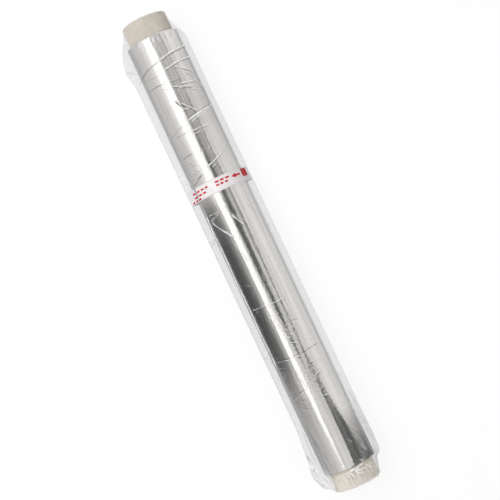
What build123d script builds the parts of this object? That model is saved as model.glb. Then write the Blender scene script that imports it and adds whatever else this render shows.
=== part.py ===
from build123d import *
from dataclasses import dataclass
import math
import os

# A household roll of aluminium foil, lying on its side in a clear film sleeve.
# X runs along the roll, Y across it and Z is up. The origin is on the surface that the roll
# lies on, under the middle of the winding. All sizes are in millimetres, angles in degrees.

# Foil winding
foil_width = 300.0           # width of the foil web, so the length of the winding
winding_depth = 2.57         # from the core to the outer turn
tail_step = 0.12             # the outer turn ends in a step of this height
tail_angle = -55.0           # where the step lies, from +Y towards +Z
turn_steps = [0.0, 0.2, 0.08, 0.26, 0.12]  # how far groups of turns lie back at each end
last_turns = 0.3             # width of the outermost group, which doesn't lie back

# Cardboard core
core_radius = 14.95
core_wall = 1.95
core_beyond_near = 13.85     # how far the core stands out of the winding at -X
core_beyond_far = 12.6       # and at +X

# Tear strip and its print, both between the winding and the film
strip_width = 9.0
strip_thickness = 0.08
strip_place = -46.4          # middle of the strip along the roll
print_thickness = 0.05

# Film sleeve: a lay-flat tube with a crease along each side
film_thickness = 0.15
crease_drop = 2.0            # the creases lie this far below the axis of the roll
rest_half_width = 5.4        # half of the flat where the slack film lies on the surface
tuck_near = 14.0             # how deep the ends of the sleeve are pushed into the core
tuck_far = 11.0
gather_count = 32            # gathers round each end
flat_enough = 1e-6           # four points this close to a plane make one panel

# Clearances between the pieces, all radial or along the roll
winding_on_core = 0.03
strip_on_winding = 0.05
layer_gap = 0.03             # strip to print, and print to film
film_on_core = 0.06

# Worked out from the values above
winding_radius = core_radius + winding_on_core + winding_depth
strip_radius = winding_radius + strip_on_winding + strip_thickness
print_radius = strip_radius + layer_gap + print_thickness
film_radius = print_radius + layer_gap + film_thickness
film_neck_radius = core_radius + film_on_core + film_thickness
film_bore_radius = core_radius - core_wall - film_on_core - film_thickness
axis_height = film_radius
winding_end = foil_width / 2
core_near_end = -winding_end - core_beyond_near
core_far_end = winding_end + core_beyond_far
roll_axis = Plane(origin=(0, 0, axis_height), x_dir=(0, 1, 0), z_dir=(1, 0, 0))


@dataclass
class Ring:
    """One closed line round the sleeve. The film is drawn round a cylinder and out to its creases."""

    x: float                 # place along the roll
    radius: float            # of the cylinder, at the film's outer face
    left: float = 0.0        # how far the crease on the -Y side stands out past the cylinder
    right: float = 0.0       # and the crease on the +Y side
    gather: float = 0.0      # height of the gathers, away from the cylinder
    ruffle: float = 0.0      # how far the gathers stand out along X, most at the top
    faces_x: int = 0         # which way the outer face looks: along X,
    faces_out: int = 1       # and away from the axis or, inside the core, towards it


def stretched(radius, corners, angle):
    """Distance from the axis to a film drawn round a cylinder and over the corners outside it."""
    reach = radius
    for along, up in corners:
        wrap = math.acos(radius / math.hypot(along, up))
        turn = abs(math.remainder(angle - math.atan2(up, along), 2 * math.pi))
        if turn < wrap:
            reach = max(reach, radius / math.cos(wrap - turn))
    return reach


def ring_points(ring, inner=False, inset=0.0):
    """The points of a ring. Inner gives the second face of the film, inset a line further in."""
    right_reach = ring.radius + ring.right
    left_reach = ring.radius + ring.left
    corners = []
    if ring.right:
        corners.append((right_reach, -crease_drop))
    if ring.left:
        corners.append((-left_reach, -crease_drop))
    if ring.radius >= film_radius:
        corners += [(rest_half_width, -film_radius), (-rest_half_width, -film_radius)]
    right_end = math.atan2(-crease_drop, right_reach)
    left_end = math.pi + math.atan2(crease_drop, left_reach)
    steps = 2 * gather_count
    points = []
    for step in range(steps):
        half = gather_count
        if step < half:
            angle = right_end + (left_end - right_end) * step / half
        else:
            angle = left_end + (right_end + 2 * math.pi - left_end) * (step - half) / half
        out = stretched(ring.radius, corners, angle) * (1 - inset / ring.radius)
        uneven = 0.62 + 0.38 * math.sin(3 * angle + 0.7) * math.cos(5 * angle)
        gathered = ring.gather * uneven * (step % 2)
        raised = 0.5 + 0.5 * math.sin(angle - 0.35)
        x = ring.x + ring.ruffle * raised**2 * (0.35 + 0.65 * (step % 2))
        out += ring.faces_out * gathered
        if inner:
            x -= ring.faces_x * film_thickness
            if ring.faces_x or ring.faces_out < 0:
                out -= ring.faces_out * film_thickness
            else:
                out *= 1 - film_thickness / ring.radius
        points.append(Vector(x, out * math.cos(angle), axis_height + out * math.sin(angle)))
    return points


def panels(first, second):
    """Flat faces from one ring to the next: one per step where its corners lie in a plane."""
    faces = []
    for step in range(len(first)):
        following = (step + 1) % len(first)
        a, b, c, d = first[step], first[following], second[following], second[step]
        normal = (b - a).cross(d - a).normalized()
        if abs(normal.dot(c - a)) < flat_enough:
            corners = [(a, b, c, d)]
        else:
            corners = [(a, b, c), (a, c, d)]
        faces += [Face(Wire.make_polygon(points)) for points in corners]
    return faces


def closed_tube(outer, inner):
    """The solid between two skins of rings that end at the same places."""
    faces = panels(outer[0], inner[0]) + panels(outer[-1], inner[-1])
    for skin in (outer, inner):
        for first, second in zip(skin, skin[1:]):
            faces += panels(first, second)
    return Solid(Shell(faces))


# The sleeve from -X to +X. At -X it is drawn tight over the core and tucked in, and at +X it
# is loose: its left crease flares out, and its gathers stand out past the core.
near_lip = core_near_end - film_on_core - film_thickness
far_lip = core_far_end + film_on_core + film_thickness
near_shoulder = -winding_end - film_on_core - film_thickness
far_shoulder = winding_end + film_on_core + film_thickness


def neck_radius(share):
    """Radius of the sleeve between the core, at 0, and the winding, at 1."""
    return film_neck_radius + share * (film_radius - film_neck_radius)


def near_neck(share):
    """Place along the roll between the lip of the sleeve at -X, at 0, and its shoulder, at 1."""
    return near_lip + share * (near_shoulder - near_lip)


def far_neck(share):
    """The same at +X."""
    return far_lip + share * (far_shoulder - far_lip)


near_end_rings = [
    Ring(core_near_end + tuck_near, film_bore_radius, gather=1.2, ruffle=-2.0, faces_out=-1),
    Ring(near_lip, film_bore_radius, gather=0.7, faces_x=-1, faces_out=-1),
    Ring(near_lip, film_neck_radius, gather=0.2, faces_x=-1),
    Ring(near_neck(0.33), neck_radius(0.0), left=1.4, gather=0.35),
    Ring(near_neck(0.61), neck_radius(0.33), left=2.6, right=0.2, gather=0.3),
    Ring(near_neck(0.88), neck_radius(0.75), left=3.6, right=0.8, gather=0.15),
]
body_rings = [
    Ring(near_shoulder, film_radius, left=3.8, right=1.6),
    Ring(near_shoulder + 6.0, film_radius, left=5.6, right=3.4),
    Ring(near_shoulder + 12.0, film_radius, left=6.9, right=3.2),
    Ring(near_shoulder + 23.0, film_radius, left=4.9, right=3.1),
    Ring(near_shoulder + 38.0, film_radius, left=4.7, right=3.0),
    Ring(0.0, film_radius, left=4.2, right=3.4),
    Ring(far_shoulder - 37.0, film_radius, left=4.0, right=3.7),
    Ring(far_shoulder - 12.5, film_radius, left=5.8, right=3.9),
    Ring(far_shoulder - 4.5, film_radius, left=7.4, right=4.0),
    Ring(far_shoulder, film_radius, left=7.3, right=3.3),
]
far_end_rings = [
    Ring(far_neck(0.74), neck_radius(0.78), left=6.3, right=0.7, gather=0.3),
    Ring(far_neck(0.44), neck_radius(0.33), left=5.3, right=0.3, gather=0.6),
    Ring(far_neck(0.17), neck_radius(0.04), left=1.2, gather=0.8),
    Ring(far_lip, film_neck_radius, gather=0.6, ruffle=0.9, faces_x=1),
    Ring(far_lip, film_bore_radius, gather=0.9, ruffle=1.9, faces_x=1, faces_out=-1),
    Ring(core_far_end - tuck_far, film_bore_radius, gather=1.5, ruffle=2.5, faces_out=-1),
]


def body_ring_at(x):
    """The sleeve's ring at any place between the shoulders, between the two rings beside it."""
    for before, after in zip(body_rings, body_rings[1:]):
        if before.x <= x <= after.x:
            share = (x - before.x) / (after.x - before.x)
            left = before.left + share * (after.left - before.left)
            right = before.right + share * (after.right - before.right)
            return Ring(x, film_radius, left, right)
    raise ValueError(f"{x} is not between the shoulders of the sleeve")


# The sleeve has a ring at each edge of the strip, so that the layers there lie parallel.
strip_edges = [body_ring_at(strip_place + side * strip_width / 2) for side in (-1, 1)]
body_rings = sorted(body_rings + strip_edges, key=lambda ring: ring.x)


def layer_under_film(outer_radius, thickness):
    """A band inside the sleeve that follows its section, as wide as the strip."""
    outside = film_radius - outer_radius
    outer = [ring_points(ring, inset=outside) for ring in strip_edges]
    inner = [ring_points(ring, inset=outside + thickness) for ring in strip_edges]
    return closed_tube(outer, inner)


def make_core():
    tube = Circle(core_radius) - Circle(core_radius - core_wall)
    start = roll_axis.offset(core_near_end)
    return extrude(start * tube, core_far_end - core_near_end)


def make_winding():
    """All turns as one solid. The outer turn runs out in two half circles to the tail's step."""
    bore_radius = core_radius + winding_on_core
    outer_half = CenterArc((0, 0), winding_radius, tail_angle, 180)
    towards_tail = Vector(1, 0).rotate(Axis.Z, tail_angle)
    inner_centre = towards_tail * (-tail_step / 2)
    inner_half = CenterArc(inner_centre, winding_radius - tail_step / 2, tail_angle + 180, 180)
    tail = Line(inner_half @ 1, outer_half @ 0)
    section = make_face([outer_half, inner_half, tail]) - Circle(bore_radius)
    winding = extrude(roll_axis.offset(-winding_end) * section, foil_width)
    pitch = (winding_radius - tail_step - last_turns - bore_radius) / len(turn_steps)
    for number, depth in enumerate(turn_steps):
        if depth == 0:
            continue
        inside = bore_radius + pitch * number
        group = Circle(inside + pitch) - Circle(inside)
        for start in (-winding_end, winding_end - depth):
            winding -= extrude(roll_axis.offset(start) * group, depth)
    return winding


def make_sleeve():
    rings = near_end_rings + body_rings + far_end_rings
    outer = [ring_points(ring) for ring in rings]
    inner = [ring_points(ring, inner=True) for ring in rings]
    return closed_tube(outer, inner)


def make_strip():
    return layer_under_film(strip_radius, strip_thickness)


# The print on the strip, as seen from above: places run along X from the middle of the strip,
# and along Y. A dash stands where the real strip has a word.
dash_width = 1.3
dash_gap = 0.9
dash_counts = [4, 3, 3, 3, 3]
dash_rows = [                # for each row its middle along X, and its first and last Y
    (-1.6, -18.2, -7.4),
    (1.0, -18.2, -9.6),
    (3.2, -20.6, -14.2),
    (-1.9, -2.2, 7.6),
    (0.3, -2.2, 6.0),
]
arrow_tip = 8.9
arrow_length = 5.9
arrow_head = 2.4             # length and width of the head
arrow_shaft = 0.8
mark_from, mark_to = 16.1, 19.1
mark_length = 5.0
mark_corner = 0.7
symbols_aside = -0.8         # the arrow and the mark sit this far from the strip's middle


def flat_print():
    """The print drawn flat, in X and Y, as one sketch."""
    marks = Sketch()
    for count, (along, start, stop) in zip(dash_counts, dash_rows):
        length = (stop - start - dash_gap * (count - 1)) / count
        for number in range(count):
            middle = start + length / 2 + number * (length + dash_gap)
            marks += Pos(strip_place + along, middle) * Rectangle(dash_width, length)
    centre = strip_place + symbols_aside
    head = Polygon(
        (centre, arrow_tip),
        (centre - arrow_head / 2, arrow_tip + arrow_head),
        (centre + arrow_head / 2, arrow_tip + arrow_head),
        align=None,
    )
    shaft_middle = arrow_tip + (arrow_head + arrow_length) / 2
    marks += head
    marks += Pos(centre, shaft_middle) * Rectangle(arrow_shaft, arrow_length - arrow_head)
    block = RectangleRounded(mark_length, mark_to - mark_from, mark_corner)
    marks += Pos(centre, (mark_from + mark_to) / 2) * block
    return marks


def make_print():
    column = extrude(Plane.XY.offset(axis_height) * flat_print(), film_radius)
    return column & layer_under_film(print_radius, print_thickness)


nodes = {
    "core_tube": make_core(),
    "foil_winding": make_winding(),
    "tear_strip": make_strip(),
    "strip_print": make_print(),
    "film_sleeve": make_sleeve(),
}
os.makedirs("parts", exist_ok=True)
for name, shape in nodes.items():
    export_step(shape, f"parts/{name}.step")
    print(name, len(shape.solids()), round(shape.volume, 1), shape.bounding_box())
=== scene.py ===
import math
import random

import bmesh
import bpy
from mathutils import Matrix, Vector, noise


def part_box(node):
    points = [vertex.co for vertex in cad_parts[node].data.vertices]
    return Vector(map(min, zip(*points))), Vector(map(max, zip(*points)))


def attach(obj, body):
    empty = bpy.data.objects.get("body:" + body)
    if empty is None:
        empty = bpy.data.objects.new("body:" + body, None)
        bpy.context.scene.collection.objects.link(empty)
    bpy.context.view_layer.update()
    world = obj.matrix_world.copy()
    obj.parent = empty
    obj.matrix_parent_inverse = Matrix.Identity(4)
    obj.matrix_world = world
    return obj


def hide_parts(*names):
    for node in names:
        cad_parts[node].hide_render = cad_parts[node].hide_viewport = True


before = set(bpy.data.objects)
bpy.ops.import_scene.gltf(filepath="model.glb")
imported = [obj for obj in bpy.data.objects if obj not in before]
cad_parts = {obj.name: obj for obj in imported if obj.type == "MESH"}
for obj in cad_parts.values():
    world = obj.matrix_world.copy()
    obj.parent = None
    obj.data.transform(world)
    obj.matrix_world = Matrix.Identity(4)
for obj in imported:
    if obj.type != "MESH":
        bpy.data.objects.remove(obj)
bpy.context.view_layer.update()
print("frame loaded")

# Sizes that come with the frame, in metres like everything else here
mm = 0.001
coreLow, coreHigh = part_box("core_tube")
foilLow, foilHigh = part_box("foil_winding")
stripLow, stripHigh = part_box("tear_strip")
axisHeight = (coreLow.z + coreHigh.z) / 2
coreRadius = (coreHigh.z - coreLow.z) / 2
foilRadius = foilHigh.z - axisHeight
filmRadius = axisHeight  # the sleeve rests on the floor, at z = 0
stripRadius = stripHigh.z - axisHeight
coreWall = 1.95 * mm
clearance = 0.06 * mm  # between the film and what it is drawn over


def ease(share):
    share = min(max(share, 0), 1)
    return share * share * (3 - 2 * share)


def fromAxis(x, out, angle):
    # angles are taken from the top of the roll, positive to the right, towards +Y
    return Vector((x, out * math.sin(angle), axisHeight + out * math.cos(angle)))


def aroundAxis(vert):
    # the other way round: a vertex's place along the roll, distance from its axis and angle
    across, up = vert.co.y, vert.co.z - axisHeight
    return vert.co.x, math.hypot(across, up), math.atan2(across, up)


def roundNoise(along, angle, scale):
    # noise that runs along the roll and closes round it
    return noise.noise(Vector((along, math.cos(angle) * scale, math.sin(angle) * scale)))


def meshObject(bm, name, material):
    mesh = bpy.data.meshes.new(name)
    bm.to_mesh(mesh)
    bm.free()
    mesh.materials.append(material)
    made = bpy.data.objects.new(name, mesh)
    bpy.context.scene.collection.objects.link(made)
    return made


def addPiece(bm, name, material, nodeName):
    piece = meshObject(bm, name, material)
    mesh = piece.data
    mesh.polygons.foreach_set("use_smooth", [True] * len(mesh.polygons))
    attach(piece, "root")
    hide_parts(nodeName)
    print(name, len(mesh.vertices), "vertices")


def spinAlongRoll(bm, profile, steps):
    # profile is a closed line of places along the roll and distances from its axis
    verts = [bm.verts.new((x, 0, axisHeight + out)) for x, out in profile]
    edges = [bm.edges.new(pair) for pair in zip(verts, verts[1:] + verts[:1])]
    bmesh.ops.spin(bm, geom=verts + edges, cent=(0, 0, axisHeight), axis=(1, 0, 0),
                   angle=2 * math.pi, steps=steps, use_merge=True)
    bmesh.ops.remove_doubles(bm, verts=bm.verts, dist=0.001 * mm)
    bmesh.ops.recalc_face_normals(bm, faces=bm.faces)


def closedBand(bm, rows, columns, place):
    # a grid bent into a closed tube, whose rows run out over one skin and back over the other
    bmesh.ops.create_grid(bm, x_segments=columns, y_segments=rows, size=1)
    for vert in bm.verts:
        column = round((vert.co.x + 1) / 2 * columns) % columns
        row = round((vert.co.y + 1) / 2 * rows) % rows
        vert.co = place(row, column, vert)
    bmesh.ops.remove_doubles(bm, verts=bm.verts, dist=0.0005 * mm)
    bmesh.ops.recalc_face_normals(bm, faces=bm.faces)


# Materials, on Object coordinates
def startMaterial(name):
    material = bpy.data.materials.new(name)
    material.use_nodes = True
    tree = material.node_tree
    return material, tree, tree.nodes["Principled BSDF"]


def feed(tree, node, values):
    # each value is a plain one, or the output that feeds the socket
    for key, value in values.items():
        if isinstance(value, bpy.types.NodeSocket):
            tree.links.new(value, node.inputs[key])
        else:
            node.inputs[key].default_value = value


def addNode(tree, kind, values=None, **settings):
    node = tree.nodes.new("ShaderNode" + kind)
    for key, value in settings.items():
        setattr(node, key, value)
    feed(tree, node, values or {})
    return node


def combine(tree, operation, first, second):
    return addNode(tree, "Math", {0: first, 1: second}, operation=operation).outputs[0]


def times(tree, first, second):
    return combine(tree, "MULTIPLY", first, second)


def blendColours(tree, first, second, factor, kind="MIX"):
    node = addNode(tree, "Mix", {"Factor": factor, "A": first, "B": second},
                   data_type="RGBA", blend_type=kind)
    return node.outputs["Result"]


def objectPlace(tree):
    # the outputs X, Y and Z of the place in the object's own coordinates
    coords = addNode(tree, "TexCoord")
    return addNode(tree, "SeparateXYZ", {0: coords.outputs["Object"]}).outputs


def objectNoise(tree, scale, **values):
    # noise on Object coordinates, centred on the roll's axis and stretched by scale
    coords = addNode(tree, "TexCoord")
    mapping = addNode(tree, "Mapping", {"Vector": coords.outputs["Object"], "Scale": scale,
                                        "Location": (0, 0, -axisHeight * scale[2])})
    texture = addNode(tree, "TexNoise", {"Vector": mapping.outputs["Vector"], "Scale": 1.0, **values})
    return texture.outputs["Fac"]


def ramp(tree, source, stops):
    node = addNode(tree, "ValToRGB", {"Fac": source})
    elements = node.color_ramp.elements
    while len(elements) < len(stops):
        elements.new(0.5)
    for element, (position, colour) in zip(elements, stops):
        element.position = position
        element.color = (*colour, 1)
    return node.outputs["Color"]


def mixShaders(tree, share, first, second):
    return addNode(tree, "MixShader", {"Fac": share, 1: first, 2: second}).outputs[0]


def surface(tree, shader):
    feed(tree, tree.nodes["Material Output"], {"Surface": shader})


def greyRamp(tree, source, stops):
    return ramp(tree, source, [(position, (grey, grey, grey)) for position, grey in stops])


def spread(tree, source, low, high):
    # 0 to 1 becomes low to high
    return addNode(tree, "MapRange", {"Value": source, "To Min": low, "To Max": high}).outputs["Result"]


def shareOf(tree, source, first, last):
    # first to last becomes 0 to 1
    node = addNode(tree, "MapRange", {"Value": source, "From Min": first, "From Max": last})
    return node.outputs["Result"]


def bumps(tree, source, height, before=None):
    values = {"Strength": 1.0, "Distance": height, "Height": source}
    if before is not None:
        values["Normal"] = before
    return addNode(tree, "Bump", values).outputs["Normal"]


# Core tube
coreTube = {
    "spinSteps": 144,
    "rimRound": 0.25 * mm,
    "rimFibres": 0.05 * mm,  # how far fibres stand out of the cut rim
    "endRows": 30,  # over the last part of each end, where the spiral seams show
    "endLength": 18 * mm,
    "middleRows": 12,
    "seamPitch": 62 * mm,  # along the roll for one turn of the outer ply
    "seamSlant": 0.83,  # a step along the roll goes this share of it across the seam
    "seamWidth": 0.5 * mm,
    "seamDepth": 0.07 * mm,
    "boardShade": (0.6, 0.545, 0.465),
    "paleFibre": (0.68, 0.635, 0.56),
    "greyFibre": (0.51, 0.465, 0.39),
    "farEnd": (1.27, 1.27, 1.24, 1),  # the board is paler at +X
    "fibreRelief": 0.05 * mm,
    "roughLow": 0.72,
    "roughHigh": 0.92,
    "gloss": 0.25,
}


def boardMaterial():
    material, tree, board = startMaterial("coreBoard")
    fibres = objectNoise(tree, (500, 900, 900), Detail=6.0, Roughness=0.65)
    clouds = objectNoise(tree, (60, 90, 90), Detail=3.0)
    both = times(tree, combine(tree, "ADD", fibres, clouds), 0.5)
    shade = ramp(tree, both, [(0.36, coreTube["greyFibre"]), (0.5, coreTube["boardShade"]),
                              (0.66, coreTube["paleFibre"])])
    far = shareOf(tree, objectPlace(tree)["X"], 0.0, foilHigh.x)
    feed(tree, board, {"Base Color": blendColours(tree, shade, coreTube["farEnd"], far, "MULTIPLY"),
                       "Roughness": spread(tree, clouds, coreTube["roughLow"], coreTube["roughHigh"]),
                       "Specular IOR Level": coreTube["gloss"],
                       "Normal": bumps(tree, fibres, coreTube["fibreRelief"])})
    return material


def coreRim(end, inward):
    # from the outside to the bore, with both edges broken
    edge, bore = coreTube["rimRound"], coreRadius - coreWall
    rim = [(end + inward * edge * 0.3, coreRadius - edge * 0.3), (end, coreRadius - edge)]
    rim += [(end, bore + coreWall * share) for share in (0.7, 0.5, 0.3)]
    return rim + [(end, bore + edge), (end + inward * edge * 0.3, bore + edge * 0.3)]


def makeCoreTube():
    bore, edge = coreRadius - coreWall, coreTube["rimRound"]
    near, far = coreLow.x, coreHigh.x
    endLength, middleRows = coreTube["endLength"], coreTube["middleRows"]
    endStep = endLength / coreTube["endRows"]
    along = [near + edge + endStep * row for row in range(coreTube["endRows"])]
    middleStep = (far - near - 2 * endLength) / middleRows
    along += [near + endLength + middleStep * row for row in range(middleRows + 1)]
    along += [far - edge - endStep * row for row in reversed(range(coreTube["endRows"]))]
    profile = [(x, coreRadius) for x in along] + coreRim(far, -1)
    profile += [(x, bore) for x in reversed(along)] + coreRim(near, 1)[::-1]
    bm = bmesh.new()
    spinAlongRoll(bm, profile, coreTube["spinSteps"])
    for vert in bm.verts:
        x, out, angle = aroundAxis(vert)
        turn = (x / coreTube["seamPitch"] + angle / (2 * math.pi)) % 1
        aside = min(turn, 1 - turn) * coreTube["seamPitch"] * coreTube["seamSlant"]
        groove = coreTube["seamDepth"] * (1 - ease(aside / coreTube["seamWidth"]))
        out += groove if out < (bore + coreRadius) / 2 else -groove
        # the cut rim isn't quite square, and its plies stand a little proud of each other
        fibre = noise.noise(Vector((math.cos(angle) * 9, math.sin(angle) * 9, out * 4000)))
        if x > far - edge * 0.2:
            x -= coreTube["rimFibres"] * (1 + fibre)
        elif x < near + edge * 0.2:
            x += coreTube["rimFibres"] * (1 + fibre)
        vert.co = fromAxis(x, out, angle)
    addPiece(bm, "coreTube", boardMaterial(), "core_tube")


makeCoreTube()
print("core made")

# Foil winding
foilWinding = {
    "spinSteps": 190,
    "rowsAlong": 385,
    "boreGap": 0.03 * mm,
    "tailStep": 0.12 * mm,
    "tailAngle": math.radians(145),  # the outer turn ends on the right, under the roll
    "edgeRound": 0.05 * mm,
    "turnSteps": [0.0, 0.2 * mm, 0.08 * mm, 0.26 * mm, 0.12 * mm],  # groups of turns lie back
    "fineTurns": 6,  # in each group
    "fineStep": 0.025 * mm,
    "lastTurns": 0.3 * mm,
    "turnWander": 0.05 * mm,
    "waveHeight": 0.075 * mm,
    "waveLengths": (24 * mm, 7 * mm),  # slow waves, long along the roll
    "dimpleHeight": 0.007 * mm,
    "dimpleSize": (2.2 * mm, 1.5 * mm),
    "ringPlaces": [-118 * mm, -71 * mm, 36 * mm, 72 * mm, 108 * mm],
    "ringDepth": 0.012 * mm,
    "ringWidth": 0.5 * mm,
    "metal": (0.93, 0.915, 0.895),
    "shadeLow": (0.87, 0.855, 0.835),
    "hairShade": (0.9, 0.9, 0.9),
    "roughLow": 0.055,
    "roughHigh": 0.1,
    "brushed": 0.55,  # the lines stretch the highlights round the roll
    "streakRelief": 0.06 * mm,
    "hairRelief": 0.028 * mm,
    "grainRelief": 0.055 * mm,
    "lineRelief": 0.004 * mm,
    "crumpleHeight": 0.22 * mm,  # small dents, in patches
    "crumpleFrom": -30 * mm,  # and between these places along the roll
    "crumpleTo": 130 * mm,
    "crumpleShares": [(0.0, 0.0), (0.4, 0.5), (0.55, 1.0), (0.72, 1.0), (0.84, 0.25), (1.0, 0.2)],
}


def foilMaterial():
    material, tree, metal = startMaterial("brightFoil")
    lines = objectNoise(tree, (2600, 22, 22), Detail=4.0, Roughness=0.6)
    grain = objectNoise(tree, (700, 900, 900), Detail=3.0, Roughness=0.55)
    streaks = objectNoise(tree, (55, 330, 330), Detail=1.0, Roughness=0.55)
    hairs = objectNoise(tree, (14, 950, 950), Detail=1.0)
    shade = ramp(tree, lines, [(0.3, foilWinding["shadeLow"]), (0.62, foilWinding["metal"])])
    drawn = ramp(tree, hairs, [(0.42, foilWinding["hairShade"]), (0.52, (1.0, 1.0, 1.0))])
    dents = objectNoise(tree, (700, 850, 850), Detail=1.0, Distortion=0.8)
    patches = shareOf(tree, objectNoise(tree, (38, 120, 120), Detail=1.0), 0.42, 0.6)
    along = shareOf(tree, objectPlace(tree)["X"], foilWinding["crumpleFrom"], foilWinding["crumpleTo"])
    there = times(tree, patches, greyRamp(tree, along, foilWinding["crumpleShares"]))
    crumple = times(tree, combine(tree, "SUBTRACT", dents, 0.5), there)
    relief = None
    for source, height in ((streaks, "streakRelief"), (hairs, "hairRelief"), (crumple, "crumpleHeight"),
                           (grain, "grainRelief"), (lines, "lineRelief")):
        relief = bumps(tree, source, foilWinding[height], relief)
    tangent = addNode(tree, "Tangent", direction_type="RADIAL", axis="X")
    feed(tree, metal, {"Metallic": 1.0, "Anisotropic": foilWinding["brushed"], "Anisotropic Rotation": 0.25,
                       "Tangent": tangent.outputs["Tangent"],
                       "Base Color": blendColours(tree, shade, drawn, 1.0, "MULTIPLY"),
                       "Roughness": spread(tree, grain, foilWinding["roughLow"], foilWinding["roughHigh"]),
                       "Normal": relief})
    return material


def endFaceProfile(boreRadius, end, inward):
    # from the bore out: groups of turns lie back by their own step, with fine turns on each
    steps, turns = foilWinding["turnSteps"], foilWinding["fineTurns"]
    depthOfTurns = foilRadius - foilWinding["tailStep"] - foilWinding["lastTurns"] - boreRadius
    pitch = depthOfTurns / len(steps)
    points = []
    for group, depth in enumerate(steps):
        inner = boreRadius + pitch * group
        for turn in range(turns):
            x = end + inward * (depth + foilWinding["fineStep"] * (turn % 2))
            points += [(x, inner + pitch * (turn + share) / turns) for share in (0.02, 0.9)]
    points.append((end, inner + pitch + 0.01 * mm))
    return points


def foilOut(x, angle):
    # how far the outer turn stands in from its radius, and how its surface waves
    turned = (angle - foilWinding["tailAngle"]) % (2 * math.pi)
    behind = max(0, turned - math.pi) / math.pi
    step = foilWinding["tailStep"] * (1 - math.cos(math.pi * behind)) / 2
    slow, quick = foilWinding["waveLengths"]
    wave = roundNoise(x / slow, angle, 2.6) + 0.35 * roundNoise(x / quick, angle, 5.72)
    dimpleLong, dimpleWide = foilWinding["dimpleSize"]
    dimple = noise.noise(Vector((x / dimpleLong, angle * foilRadius / dimpleWide, 3.7)))
    ring = 0
    for place in foilWinding["ringPlaces"]:
        away = (x - place - 0.6 * mm * math.sin(2 * angle + place * 900)) / foilWinding["ringWidth"]
        if abs(away) < 3:
            ring += foilWinding["ringDepth"] * math.exp(-away * away)
    return step + foilWinding["waveHeight"] * (1 - wave) / 2 + foilWinding["dimpleHeight"] * dimple + ring


def makeFoilWinding():
    boreRadius = coreRadius + foilWinding["boreGap"]
    near, far = foilLow.x, foilHigh.x
    rows, edge = foilWinding["rowsAlong"], foilWinding["edgeRound"]
    profile = endFaceProfile(boreRadius, near, 1) + [(near, foilRadius - edge)]
    profile += [(near + edge + (far - near - 2 * edge) * row / rows, foilRadius) for row in range(rows + 1)]
    profile += [(far, foilRadius - edge)] + endFaceProfile(boreRadius, far, -1)[::-1]
    bm = bmesh.new()
    spinAlongRoll(bm, profile, foilWinding["spinSteps"])
    outside = foilRadius - 2 * edge
    for vert in bm.verts:
        x, out, angle = aroundAxis(vert)
        if out > outside:
            out -= foilOut(x, angle)
        if abs(x) > far - 0.4 * mm and out > boreRadius + 0.1 * mm:
            # the turns' edges wander a little
            wander = noise.noise(Vector((math.cos(angle) * 4, math.sin(angle) * 4, out * 2500 + x)))
            x -= math.copysign(foilWinding["turnWander"] * (1 + wander), x)
        vert.co = fromAxis(x, out, angle)
    addPiece(bm, "foilWinding", foilMaterial(), "foil_winding")


makeFoilWinding()
print("foil made")

# Film sleeve
filmSleeve = {
    "thickness": 0.07 * mm,
    "creaseDrop": 2.0 * mm,  # the creases lie this far below the axis
    "restHalfWidth": 5.4 * mm,
    "columnsOver": 108,  # from the right crease over the top to the left one
    "columnsUnder": 36,
    "pinch": 0.11,  # the two layers draw together beside a crease
    "slackHeight": 0.05 * mm,
    "slackLength": 9 * mm,
    "marginWave": 0.35 * mm,
    "marginLength": 13 * mm,
    "gatherScale": 5.2,
    "gatherLength": 30 * mm,
    "gatherSharpness": 2.6,
    "looseAngle": 1.2,  # the side on which the gathers at the lips stand out most
    "tint": (0.967, 0.968, 0.971, 1),
    # painted shade: the margins beside the creases take a darker tint, for the shadow seen through them
    "marginShadeTint": (0.925, 0.928, 0.936, 1),
    "foldShade": (0.42, 0.42, 0.425, 1),
    "headOnGloss": 0.021,
    "grazingGloss": 0.45,
    "roughness": 0.07,
    "haze": 0.012,
    "overStrip": 0.3,  # share of the gloss, the haze and the painted highlights where the film clings to the strip
    # painted highlight: the most white that fold ridges, creases and gathers are painted
    "paintedHighlightWhite": 0.9,
    # painted sheen: the crease, gather and slack whites below paint the film whiter there
    "creaseSheenPaint": 0.3,
    "farSheenPaint": 0.16,  # painted sheen over the core at +X
    "gatherSheenPaint": 0.3,
    "slackSheenPaint": 0.3,
    # painted highlight: the white, rough surface that the painted fold, crease and gather whites show
    "paintedWhiteFilm": (0.95, 0.95, 0.95, 1),
    "paintedWhiteRoughness": 0.35,
    "lineSharpness": 1.3,  # of the folds' painted white highlight and dark shade lines
    "foldRelief": 0.1 * mm,
    "crinkleRelief": 0.014 * mm,
}
filmThickness = filmSleeve["thickness"]
neckRadius = coreRadius + clearance + filmThickness
boreRadius = coreRadius - coreWall - clearance - filmThickness
nearLip = coreLow.x - clearance - filmThickness
farLip = coreHigh.x + clearance + filmThickness
nearShoulder = foilLow.x - clearance - filmThickness
farShoulder = foilHigh.x + clearance + filmThickness


def station(rows, x, radius, left=0, right=0, out=0, along=0, inside=(0, -1)):
    # rows: of faces to the next station. left and right: how far the creases stand out past the
    # radius, in mm. out and along: the gathers' height, in mm. inside: where the other skin is
    return {"x": x, "radius": radius, "left": left * mm, "right": right * mm, "out": out * mm,
            "along": along * mm, "rows": rows, "insideX": inside[0], "insideOut": inside[1]}


def neck(share):
    return neckRadius + share * (filmRadius - neckRadius)


def nearNeck(share):
    return nearLip + share * (nearShoulder - nearLip)


def farNeck(share):
    return farLip + share * (farShoulder - farLip)


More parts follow.
